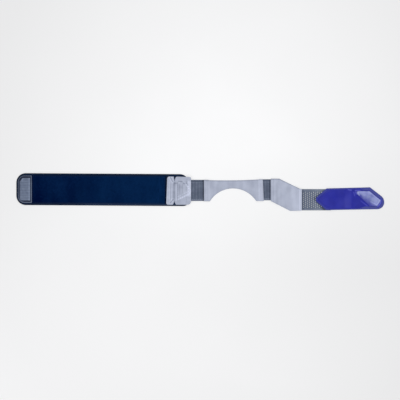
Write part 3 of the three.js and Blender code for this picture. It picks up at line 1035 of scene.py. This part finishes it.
def mesh_elastic():
    """Grey open knit with paler courses."""
    finish = Finish("mesh_elastic", roughness=0.85, specular=0.08, sheen=0.02)
    yarn = finish.grain(size=0.5)
    colour = finish.tint(yarn, srgb(80, 89, 106), srgb(104, 113, 131))
    finish.bump(yarn, depth=0.12)
    return finish.done(finish.toned(colour, srgb(48, 55, 72), srgb(146, 154, 169)))


def blue_tab():
    """A royal blue coated fabric, finely grained."""
    finish = Finish("blue_tab", roughness=0.55, specular=0.1)
    pores = finish.grain(size=0.5, detail=3)
    colour = finish.tint(finish.grain(size=16, detail=3), srgb(31, 34, 136), srgb(38, 43, 152))
    finish.bump(pores, depth=0.06)
    colour = finish.toned(colour, srgb(68, 74, 141), srgb(104, 107, 206))
    return finish.done(colour, finish.tint(pores, grey(0.48), grey(0.65)))


def grip_film():
    """A milky moulded film, blue where it is thin."""
    finish = Finish("grip_film", roughness=0.45, specular=0.15, coat=0.05)
    cloud = finish.grain(size=6, detail=3)
    colour = finish.tint(cloud, srgb(104, 111, 174), srgb(129, 138, 182))
    finish.bump(finish.grain(size=0.4), depth=0.03)
    colour = finish.toned(colour, srgb(58, 62, 150), srgb(160, 167, 222))
    return finish.done(colour, finish.tint(cloud, grey(0.38), grey(0.5)))


def thread(name, dark, light):
    """Twisted sewing thread."""
    finish = Finish(name, roughness=0.7, specular=0.2, sheen=0.05)
    twist = finish.grain(size=0.25)
    finish.bump(twist, depth=0.04)
    return finish.done(finish.tint(twist, dark, light))


def sew(sheet, material, slot, yarn, seam_name, paths, **laid):
    """A sheet and the seam that it carries."""
    piece = add_sheet(sheet, material)
    seam = add_thread(seam_name, sheet, paths, yarn)


def build_band(grey_cloth, grey_thread):
    base = Sheet("band_base", step=1.2, edge=0.9, surface=band_surface)
    pad = add_sheet(base, navy_laminate())
    laid = {"rests_on": [pad], "rise": BAND_RISE}

    facing = Sheet("loop_facing", step=0.75, edge=0.6, surface=velour_surface)
    navy_thread = thread("navy_thread", srgb(14, 24, 50), srgb(32, 46, 80))
    paths = [closed(inset_loop(facing.loop, SEAMS["facing"]))]
    sew(facing, navy_velour(), "navy_velour", navy_thread, "facing_seam", paths, **laid)

    patch = Sheet("end_patch", step=0.28, edge=0.4, surface=patch_surface)
    steel_thread = thread("steel_thread", srgb(84, 94, 116), srgb(124, 134, 154))
    paths = [closed(inset_loop(patch.loop, SEAMS["patch"]))]
    sew(patch, ribbed_patch(), "ribbed_patch", steel_thread, "patch_seam", paths, **laid)

    anchor = Sheet("anchor_tab", step=0.42, edge=0.5, surface=anchor_surface, lean=ANCHOR_LEAN)
    paths = [seam_row(anchor, x) for x in SEAMS["anchor"]] + [closed(np.array(SHIELD))]
    sew(anchor, grey_cloth, "grey_laminate", grey_thread, "anchor_seam", paths, **laid)


def build_strap(grey_cloth, grey_thread):
    woven = woven_elastic()
    for node in ("elastic_near", "elastic_far"):
        sheet = Sheet(node, step=0.3, edge=0.45, surface=elastic_surface)
        add_sheet(sheet, woven)

    thumb = Sheet("thumb_strap", step=0.55, edge=0.5, surface=panel_surface(THUMB_HEMS), lean=THUMB_LEAN)
    link = Sheet("link_panel", step=0.55, edge=0.5, surface=panel_surface(LINK_HEMS))
    for sheet, name in ((thumb, "thumb"), (link, "link")):
        paths = [seam_row(sheet, x) for x in SEAMS[name]]
        sew(sheet, grey_cloth, "grey_laminate", grey_thread, name + "_seam", paths)

    strip = MeshStrip("mesh_strip")
    points, faces, tone = strip.build()
    knit = add_piece("soft_mesh_strip", points, faces, mesh_elastic(), tone)
    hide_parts("mesh_strip")


def build_pull_tab():
    tab = Sheet("pull_tab", step=0.5, edge=0.7, surface=tab_surface)
    grip = Sheet("grip_patch", step=0.3, edge=0.35, surface=grip_surface)
    handle = add_sheet(tab, blue_tab())
    film = add_sheet(grip, grip_film())
    blue_thread = thread("blue_thread", srgb(26, 28, 104), srgb(58, 62, 164))
    _, root_end = TAB["root"]
    loops = [inset_loop(tab.loop, inset) for inset in SEAMS["tab"]]
    paths = [loop[loop[:, 0] < root_end] for loop in loops]
    seam = add_thread("tab_seam", tab, paths, blue_thread)


# Stage, light and camera
def add_floor():
    half = STAGE["half"]
    mesh = bpy.data.meshes.new("floor")
    corners = [(-half, -half), (half, -half), (half, half), (-half, half)]
    mesh.from_pydata([(x, y, -STAGE["drop"]) for x, y in corners], [], [(0, 1, 2, 3)])
    # painted light: the floor glows, and its colour fades away from a pool of light, with a dim and a
    # bright patch
    finish = Finish("floor", roughness=0.9, specular=0.05, glow=STAGE["glow"])
    pale = finish.tint(finish.grain(size=120), srgb(172, 172, 173), srgb(175, 175, 176))
    away = finish.tint(finish.pool(**FLOOR_POOL), grey(0), grey(1), span=(0.2, 1))
    dim = finish.tint(finish.pool(**FLOOR_DIM), grey(0.8), grey(0), span=(0, 1))
    bright = finish.tint(finish.pool(**FLOOR_BRIGHT), grey(0.8), grey(0), span=(0, 1))
    colour = finish.mix(away, pale, srgb(153, 153, 154))
    colour = finish.mix(dim, colour, srgb(147, 147, 148))
    colour = finish.mix(bright, colour, srgb(170, 170, 171))
    mesh.materials.append(finish.done(colour))
    floor = add_object("floor", mesh)


def add_light(name, place, size, power):
    """A round soft light that points at the object."""
    data = bpy.data.lights.new(name, "AREA")
    data.shape = "DISK"
    data.size = size
    data.energy = power
    light = add_object(name, data)
    light.location = place
    light.rotation_euler = (-Vector(place)).to_track_quat("-Z", "Y").to_euler()


def light_scene():
    world = bpy.data.worlds.new("studio")
    world.use_nodes = True
    background = world.node_tree.nodes["Background"]
    background.inputs["Color"].default_value = STAGE["sky"]
    background.inputs["Strength"].default_value = STAGE["ambient"]
    bpy.context.scene.world = world
    bpy.context.scene.view_settings.view_transform = "Standard"
    for name, light in LIGHTS.items():
        add_light(name, **light)


def add_camera():
    data = bpy.data.cameras.new("camera")
    data.sensor_width = CAMERA["sensor"]
    data.lens = CAMERA["sensor"] * CAMERA["height"] / CAMERA["view"]
    camera = add_object("camera", data)
    camera.location = (np.array([*CAMERA["aim"], CAMERA["height"]]) + ORIGIN) * MM
    bpy.context.scene.camera = camera


add_camera()
add_floor()
light_scene()
laminate = grey_laminate()
pale_thread = thread("pale_thread", srgb(150, 156, 176), srgb(192, 198, 215))
build_band(laminate, pale_thread)
build_strap(laminate, pale_thread)
build_pull_tab()
